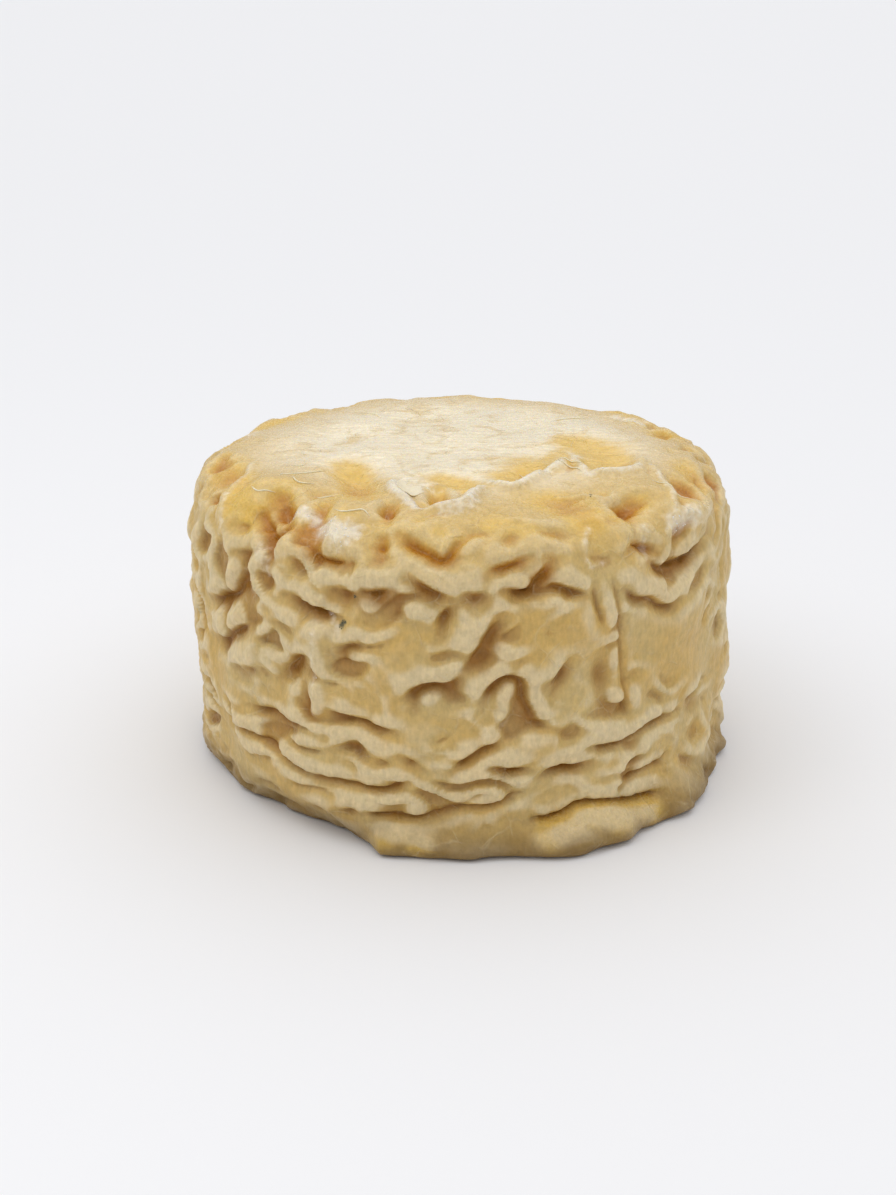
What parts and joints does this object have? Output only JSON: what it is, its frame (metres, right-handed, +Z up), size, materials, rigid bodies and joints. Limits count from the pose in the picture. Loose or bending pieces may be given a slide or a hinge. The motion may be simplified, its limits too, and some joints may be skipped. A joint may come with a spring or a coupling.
{
  "type": "cheese wheel",
  "caption": "Small soft washed-rind cheese wheel: a squat round body with a flat foot, a domed cream top, sloping yellow shoulder and crinkled ochre wall.",
  "frame": {"origin": "middle of the flat foot, on the surface that the wheel stands on", "axes": "+Z up through the top, -Y towards the side that the picture shows, +X to the right of that view"},
  "size_m": [0.0869, 0.0877, 0.0509],
  "materials": {
    "washed_rind": "moist soft rind, semi-matte, cream on top and ochre in its crevices"
  },
  "bodies": {
    "root": {"cheese_wheel": "washed_rind"}
  },
  "joints": []
}
